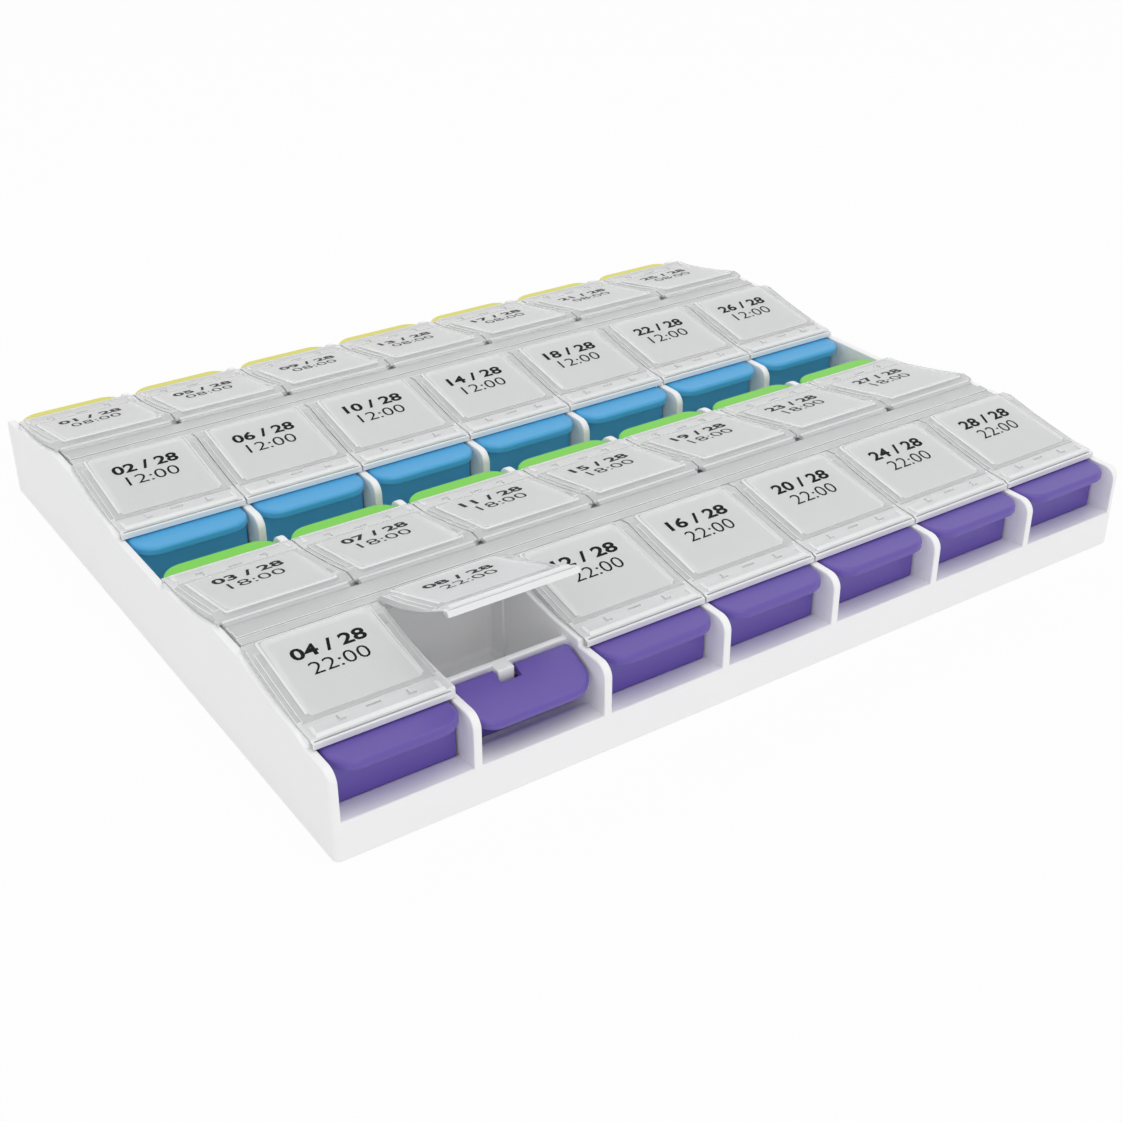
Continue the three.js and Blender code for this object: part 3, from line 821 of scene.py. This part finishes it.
def clear_body(piece, width, segments=2, angle=SHARP_DEG):
    """A clear body, its rounded edges in the whiter edge plastic, which paints a highlight on them."""
    return rounded(in_slots(piece, CLEAR), width, segments, angle, painted_highlight_slot=PAINTED_HIGHLIGHT)


def in_band(piece, slot, out0, out1=LID_FRONT, facing=None):
    """Gives a plastic to the faces between two lines across the lid, or to those that face one way."""
    for face in piece.data.polygons:
        within = out0 * MM < -face.center.y < out1 * MM + ROUNDING_ROOM
        if within and (facing is None or face.normal.dot(facing) > SAME_WAY):
            face.material_index = slot
    return piece


print("clear plastics:", [material.name for material in CLEAR_SLOTS])

# %% The slab, its bead and lip
LIP, SHELF_START, BEAD, CLEAR_EDGE = 1.4, 32.0, 0.75, 0.12
REAR_BAND, REAR_END, LIP_BAND = 8.5, 6.5, LID_FRONT - LIP + 0.05
BACKWARDS, UPWARDS = Vector((0, 1, 0)), Vector((0, 0, 1))
slab_section = [
    *arc(HINGE_OUT, HINGE_UP, BEAD, 50, 335, 14),
    (HUMP_START - GAP / 2, HINGE_UP - GAP),
    *lid_under,
    (LID_FRONT - LIP, SEAT + GAP),
    (LID_FRONT - LIP, WALL_TOP + GAP),
    (LID_FRONT, WALL_TOP + GAP),
    *reversed(lid_top),
    (LID_REAR_OUT, LID_REAR_UP),
]
lid = clear_body(along_x("lid", slab_section, -LID_WIDTH / 2, LID_WIDTH / 2), CLEAR_EDGE)
# The rounds near the hinge go back to plain clear. The crest's faces that look back to the hinge, and the
# whole lip, take the edge plastic, a painted highlight. The shelf's top is satin.
in_band(lid, CLEAR, 0, REAR_BAND)
in_band(lid, PAINTED_HIGHLIGHT, HINGE_OUT, REAR_END, facing=BACKWARDS)
in_band(lid, SATIN, SHELF_START, facing=UPWARDS)
in_band(lid, PAINTED_HIGHLIGHT, LIP_BAND)
print("slab:", len(lid.data.vertices), "points")

# %% Rear corners cut clear of the walls
CORNER_START, CORNER_END, CORNER_TOP = HINGE_OUT + 0.7, HUMP_START + 0.35, HINGE_UP + 0.45
CORNER_BOTTOM, CORNER_ROOF, CORNER_WIDTH = 25, 31, 3
bead_end = PITCH / 2 - WALL / 2 - GAP
corner = [
    (0, CORNER_BOTTOM), (CORNER_END, CORNER_BOTTOM), (CORNER_END, CORNER_TOP), (CORNER_START, CORNER_TOP),
    (CORNER_START, CORNER_ROOF), (0, CORNER_ROOF),
]
corners = [along_x("corner", corner, x, x + CORNER_WIDTH) for x in (bead_end, -bead_end - CORNER_WIDTH)]
cut(lid, in_slots(side_by_side("corners", corners), CLEAR))
print("bead:", round(2 * bead_end, 2), "mm long")

# %% The step that stands on the slab
STEP_HALF, STEP_REAR, STEP_FRONT, STEP_RISE = 15.4, 10.0, 32.6, 0.3
STEP_RUN, STEP_EDGE, STEP_BAND = 2, 0.16, STEP_FRONT - 0.3
FRONT_ROOT, REAR_ROOT, REAR_SILL = -0.4, -0.9, -0.3


def step_rise(out):
    """The step's height over the slab, which fades away at its rear."""
    return STEP_RISE * min((out - STEP_REAR) / STEP_RUN, 1)


step_section = [
    *((out, up + step_rise(out)) for out, up in lid_top if STEP_REAR < out < STEP_FRONT),
    (STEP_FRONT, over_slab(STEP_RISE)(0, STEP_FRONT)),
    (STEP_FRONT, over_slab(FRONT_ROOT)(0, STEP_FRONT)),
    (STEP_REAR, over_slab(REAR_ROOT)(0, STEP_REAR)),
    (STEP_REAR, over_slab(REAR_SILL)(0, STEP_REAR)),
]
step = clear_body(along_x("step", step_section, -STEP_HALF, STEP_HALF), STEP_EDGE)
# The step's rounds show the painted highlight, except along its front, which goes back to plain clear.
in_band(step, CLEAR, STEP_BAND)
print("step:", len(step.data.vertices), "points")

# %% The raised window
WINDOW_REAR, WINDOW_FRONT, WINDOW_HALF, WINDOW_CORNER = 7.3, 31.3, 13.7, 0.8
FOOT_REAR, FOOT_FRONT, FOOT_HALF, FOOT_CORNER = WINDOW_REAR - 0.8, WINDOW_FRONT + 0.9, 14.4, 1.1
WINDOW_EDGE, WINDOW_BAND = 0.35, WINDOW_FRONT - 0.4
WINDOW_SLANT, FOOT_SLANT = (8.0, 30.4, 31.0, 25.95), (6.5, 29.0, 32.2, 24.7)
window_top, window_foot = slope(*WINDOW_SLANT), slope(*FOOT_SLANT)
foot_plan = rounded_rectangle(-FOOT_HALF, FOOT_HALF, FOOT_REAR, FOOT_FRONT, FOOT_CORNER)
window_plan = rounded_rectangle(-WINDOW_HALF, WINDOW_HALF, WINDOW_REAR, WINDOW_FRONT, WINDOW_CORNER)
window = clear_body(tapered("window", foot_plan, window_foot, window_plan, window_top), WINDOW_EDGE, 3)
# The window's rounds show the painted highlight, except along its front, which goes back to plain clear.
in_band(window, CLEAR, WINDOW_BAND)
print("window:", len(window.data.vertices), "points")

# %% The rim and its nail bar
RIM_HALF, RIM_REAR, RIM_FRONT, RIM_DEPTH, RIM_SIDE = 15.1, 34.4, 38.2, 1.1, 1
RIM_CORNER, RIM_INNER_CORNER, BAR_CORNER, RIM_EDGE = 1.8, 0.9, 0.5, 0.2
RIM_BOTTOM, RIM_REAR_TOP, RIM_FRONT_TOP = 23.6, 25.25, 24.75
BAR_BOTTOM, BAR_REAR_TOP, BAR_FRONT_TOP = 23.7, 25.4, 24.86


def rim_plan():
    """A U that opens to the rear, along the front edge and round both corners."""
    half, inner, front = RIM_HALF, RIM_HALF - RIM_SIDE, RIM_FRONT - RIM_DEPTH
    big, small = RIM_CORNER, RIM_INNER_CORNER
    return [
        (-half, RIM_REAR),
        *arc(-half + big, RIM_FRONT - big, big, 180, 90, 6),
        *arc(half - big, RIM_FRONT - big, big, 90, 0, 6),
        (half, RIM_REAR),
        (inner, RIM_REAR),
        *arc(inner - small, front - small, small, 0, 90, 6),
        *arc(-inner + small, front - small, small, 90, 180, 6),
        (-inner, RIM_REAR),
    ]


bar_rear = RIM_FRONT - RIM_DEPTH
bar_plan = rounded_rectangle(-RIM_HALF, RIM_HALF, bar_rear, RIM_FRONT, BAR_CORNER)
rim_top = slope(RIM_REAR, RIM_REAR_TOP, RIM_FRONT, RIM_FRONT_TOP)
bar_top = slope(bar_rear, BAR_REAR_TOP, RIM_FRONT, BAR_FRONT_TOP)
rim = raised("rim", rim_plan(), RIM_BOTTOM, rim_top)
nail_bar = raised("nail bar", bar_plan, BAR_BOTTOM, bar_top)
# The rim and the nail bar are all in the edge plastic, which paints a highlight on them.
rims = [rounded(in_slots(body, PAINTED_HIGHLIGHT), RIM_EDGE, 3) for body in (rim, nail_bar)]
joined(lid, step, window, *rims)
print("lid with step, window and rim:", len(lid.data.vertices), "points")

# %% The hollow below and the sunk label field
RECESS, PANE, RUN_OUT, ABOVE_WINDOW = 0.3, 0.8, 1.2, 0.2
HOLLOW_BOTTOM, HOLLOW_EDGE = 23.1, 0.3
HOLLOW_FOOT, HOLLOW_TOP = (-13.1, 13.1, 8.4, 31.4, 1.2), (-12.0, 12.0, 9.4, 30.2, 0.9)
FIELD_FLOOR, FIELD_MOUTH = (11.8, 12.6, 9.1, 0.8), (13.8, 14.0, 6.9, 1.6)


def field_floor(x, out):
    """The sunk field that carries the print."""
    return window_top(x, out) - RECESS


def over_window(x, out):
    """The top of the cut that sinks the field."""
    return window_top(x, out) + ABOVE_WINDOW


def under_pane(x, out):
    """The hollow's top, a pane's thickness below the field."""
    return field_floor(x, out) - PANE


def below_lid(x, out):
    """The hollow's foot, below the slab."""
    return HOLLOW_BOTTOM


def field_plan(rear_half, front_half, rear, radius):
    """The field's plan, a little wider in front, where it runs out over the window's edge."""
    front = WINDOW_FRONT + RUN_OUT
    return [
        (front_half, front),
        (-front_half, front),
        *arc(-rear_half + radius, rear + radius, radius, 180, 270, 5),
        *arc(rear_half - radius, rear + radius, radius, 270, 360, 5),
    ]


hollow_plans = [rounded_rectangle(*sides) for sides in (HOLLOW_FOOT, HOLLOW_TOP)]
field_plans = [field_plan(*sides) for sides in (FIELD_FLOOR, FIELD_MOUTH)]
hollow = tapered("hollow", hollow_plans[0], below_lid, hollow_plans[1], under_pane)
field = tapered("field", field_plans[0], field_floor, field_plans[1], over_window)
# The hollow's rounded edges also take the edge plastic, a painted highlight.
cut(lid, clear_body(hollow, HOLLOW_EDGE), in_slots(field, FROSTED, CLEAR, SATIN))
print("lid with its hollow and field:", len(lid.data.vertices), "points")

# %% The groove and the small marks
GROOVE_START, GROOVE_END, GROOVE_BOTTOM, GROOVE_TOP, GROOVE_HALF = 38.25, 38.6, 23.6, 25.5, 15.8
MARK_BOTTOM, MARK_RISE = 24.6, 0.2
MARKS = [(-1.7, 1.7, 33.9, 34.25), (-8.5, -8.15, 33.7, 35.3), (-8.5, -6.9, 35.0, 35.3),
         (7.7, 8.05, 33.7, 35.3), (7.7, 9.5, 35.0, 35.3)]
groove_section = [
    (GROOVE_START, GROOVE_TOP),
    (GROOVE_START, GROOVE_BOTTOM),
    (GROOVE_END, GROOVE_BOTTOM),
    (GROOVE_END, GROOVE_TOP),
]
cut(lid, in_slots(along_x("groove", groove_section, -GROOVE_HALF, GROOVE_HALF), CLEAR))
for x0, x1, out0, out1 in MARKS:
    mark = raised("mark", [(x0, out0), (x1, out0), (x1, out1), (x0, out1)], MARK_BOTTOM, over_slab(MARK_RISE))
    joined(lid, in_slots(mark, CLEAR))
lid_mesh = finished(lid).data
bpy.data.objects.remove(lid)
used_slots = [face.material_index for face in lid_mesh.polygons]
print("lid faces by plastic:", [used_slots.count(slot) for slot in range(len(CLEAR_SLOTS))])

# %% A lid for every compartment
lifted = turned_about(HINGE_OUT, HINGE_UP, SHOWN_LID_DEG)
copies(lambda time: lid_mesh, "lid", lifted, lambda time: "clear_plastic")
print("lid:", len(lid_mesh.vertices), "points")

# %% [markdown]
# ## The hinge strips
# Between two rows of lids lies a clear strip. Along each of its edges runs an open channel that the lids'
# beads snap into, and a low rib along its middle stiffens it.
# It could be a flat bar, but the open channel shows from the side, so its real section is pushed along X.

# %% Two hinge strips
CHANNEL, CHANNEL_WALL, MOUTH_HALF = 1.05, 0.7, 0.4
RIB_HALF, RIB_RISE, STRIP_SHARP_DEG = 1.5, 0.5, 30
mouth = 180 - math.degrees(math.asin(MOUTH_HALF / CHANNEL))
half_strip = [
    (0, STRIP_TOP + RIB_RISE),
    (RIB_HALF, STRIP_TOP + RIB_RISE),
    (RIB_HALF, STRIP_TOP),
    *arc(HINGE_OUT, HINGE_UP, CHANNEL, mouth, 320, 12),
    *arc(HINGE_OUT, HINGE_UP, CHANNEL + CHANNEL_WALL, 320, 270, 4),
]
strip_end = WIDTH / 2 - WALL - GAP
for name, module in zip(("front", "rear"), MODULES):
    section = moved_y(mirrored(half_strip), module)
    strip = along_x(f"hinge_strip_{name}_moulding", section, -strip_end, strip_end)
    # The strip's rounded edges take the edge plastic, a painted highlight.
    finished(clear_body(strip, CLEAR_EDGE, angle=STRIP_SHARP_DEG))
    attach(strip, "tray")
    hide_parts(f"hinge_strip_{name}")
    print(strip.name, len(strip.data.vertices), "points")

# %% [markdown]
# ## The numbers on the lids
# Each lid is printed with two lines in black: which of the week's 28 doses it holds, in heavy figures,
# and the hour below in light ones. An image could hold them, but print is a film of ink,
# so the figures are real shapes a hair thick on the window.
# A text object gives the figures, and as a mesh they ride like any other piece.

# %% Printed numbers
INK, DRAWN_INK = 0.03, 0.02
DOSE_HEIGHT, DOSE_WIDTH, BOLD = 3.7, 17.6, 0.026
HOUR_HEIGHT, HOUR_WIDTH, LIGHT = 3.8, 13.8, -0.006
FEET_TO_HINGE, FEET_TO_FRONT = (24.9, 19.6), (16.2, 21.5)


def figures(words, height, width, boldness):
    """Figures as a mesh, their middle at zero and their feet on the X axis, in millimetres."""
    curve = bpy.data.curves.new("figures", "FONT")
    curve.body = words
    curve.size = 1
    curve.offset = boldness
    curve.extrude = DRAWN_INK / 2
    curve.resolution_u = 3
    writing = bpy.data.objects.new("figures", curve)
    bpy.context.scene.collection.objects.link(writing)
    mesh = evaluated_mesh(writing)
    bpy.data.objects.remove(writing)
    across, along, _ = zip(*(point.co for point in mesh.vertices))
    stretch = (width / (max(across) - min(across)), height / (max(along) - min(along)), INK / DRAWN_INK)
    to_middle = Matrix.Translation((-(min(across) + max(across)) / 2, -min(along), 0))
    mesh.transform(Matrix.Diagonal((*stretch, 1)) @ to_middle)
    return mesh


def label_mesh(number, hour, reads_from_hinge):
    """Both lines of one lid, on the window's slant, to be read from the hinge or from the front."""
    body = bmesh.new()
    tilt = Matrix.Rotation(math.atan(window_top(0, 0) - window_top(0, 1)), 4, "X")
    spin = Matrix.Rotation(math.pi if reads_from_hinge else 0, 4, "Z")
    dose = figures(f"{number:02d} / 28", DOSE_HEIGHT, DOSE_WIDTH, BOLD)
    clock = figures(f"{hour:02d}:00", HOUR_HEIGHT, HOUR_WIDTH, LIGHT)
    feet = FEET_TO_HINGE if reads_from_hinge else FEET_TO_FRONT
    for mesh, out in zip((dose, clock), feet):
        mesh.transform(Matrix.Translation((0, -out, field_floor(0, out) + INK / 2)) @ tilt @ spin)
        mesh.transform(Matrix.Scale(MM, 4))
        body.from_mesh(mesh)
    made = bpy.data.meshes.new("label")
    body.to_mesh(made)
    body.free()
    made.materials.append(label_ink)
    return made


for first_dose, (time, side, turn, hour) in enumerate(reversed(ROWS), 1):
    for column, day in enumerate(DAYS):
        name = f"{day}_{time}"
        tilted = name == SHOWN_OPEN
        mesh = label_mesh(column * len(ROWS) + first_dose, hour, turn == 180)
        place = place_of(column, side, turn, lifted if tilted else None)
        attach(placed(f"label_{name}", mesh, place, tilted), f"lid_{name}")
print("labels on", len(ROWS) * len(DAYS), "lids")

# %% [markdown]
# ## Floor and light
# The organizer stands on a plain white table under soft studio light from all round.
# The world gives the even light. One wide lamp overhead gives the tops their brightness,
# and one in front reaches into the open compartment and under the buttons' rounded edges.
# The table could be lit to white, but that would burn out the tray. So most of it glows white for rays
# that look at it, and the rest is plain paint that takes a faint shadow.

# %% Floor
TABLE_REACH, TABLE_DEPTH, TABLE_GAP = 4000, 20, 0.02
WHITE, PAINT = (1, 1, 1, 1), (0.9, 0.9, 0.9, 1)
PAINT_ROUGHNESS, GLOW_SHARE = 0.8, 0.93


def seen_directly(tree):
    """1 for rays from the camera, straight, through clear plastic or off a gloss, and 0 for other light."""
    path = add_node(tree, "ShaderNodeLightPath")
    clear = add_node(tree, "ShaderNodeMath", operation="MAXIMUM")
    either = add_node(tree, "ShaderNodeMath", operation="MAXIMUM")
    tree.links.new(path.outputs["Is Camera Ray"], clear.inputs[0])
    tree.links.new(path.outputs["Is Transmission Ray"], clear.inputs[1])
    tree.links.new(clear.outputs[0], either.inputs[0])
    tree.links.new(path.outputs["Is Glossy Ray"], either.inputs[1])
    return either


floor_material = bpy.data.materials.new("white table")
floor_material.use_nodes = True
tree = floor_material.node_tree
paint = tree.nodes["Principled BSDF"]
paint.inputs["Base Color"].default_value = PAINT
paint.inputs["Roughness"].default_value = PAINT_ROUGHNESS
glow = add_node(tree, "ShaderNodeEmission", {"Color": WHITE, "Strength": 1.0})
seen = seen_directly(tree)
share = add_node(tree, "ShaderNodeMath", {1: GLOW_SHARE}, operation="MULTIPLY")
mix = add_node(tree, "ShaderNodeMixShader")
tree.links.new(seen.outputs[0], share.inputs[0])
tree.links.new(share.outputs[0], mix.inputs["Fac"])
tree.links.new(paint.outputs[0], mix.inputs[1])
tree.links.new(glow.outputs[0], mix.inputs[2])
tree.links.new(mix.outputs[0], tree.nodes["Material Output"].inputs["Surface"])
table_plan = [(x * TABLE_REACH, y * TABLE_REACH) for x, y in ((-1, -1), (1, -1), (1, 1), (-1, 1))]
floor = raised("table", table_plan, -TABLE_DEPTH, -TABLE_GAP)
floor.data.materials.append(floor_material)
print("table:", 2 * TABLE_REACH, "mm wide")

# %% World and lamps
SKY_STRENGTH = 0.76
world = bpy.data.worlds.new("studio")
world.use_nodes = True
bpy.context.scene.world = world
tree = world.node_tree
sky = tree.nodes["Background"]
sky.inputs["Color"].default_value = WHITE
sky.inputs["Strength"].default_value = SKY_STRENGTH
backdrop = add_node(tree, "ShaderNodeBackground", {"Color": WHITE, "Strength": 1.0})
seen = seen_directly(tree)
mix = add_node(tree, "ShaderNodeMixShader")
tree.links.new(seen.outputs[0], mix.inputs["Fac"])
tree.links.new(sky.outputs[0], mix.inputs[1])
tree.links.new(backdrop.outputs[0], mix.inputs[2])
tree.links.new(mix.outputs[0], tree.nodes["World Output"].inputs["Surface"])


def lamp(name, place, size, power):
    """A round lamp that points at the organizer's middle."""
    data = bpy.data.lights.new(name, "AREA")
    data.shape = "DISK"
    data.size = size
    data.energy = power
    made = bpy.data.objects.new(name, data)
    made.location = place
    made.rotation_euler = (-Vector(place)).to_track_quat("-Z", "Y").to_euler()
    bpy.context.scene.collection.objects.link(made)


lamp("overhead", place=(0.1, -0.1, 1.1), size=0.9, power=1.7)
lamp("front", place=(-0.3, -1.1, 0.65), size=0.6, power=1.5)
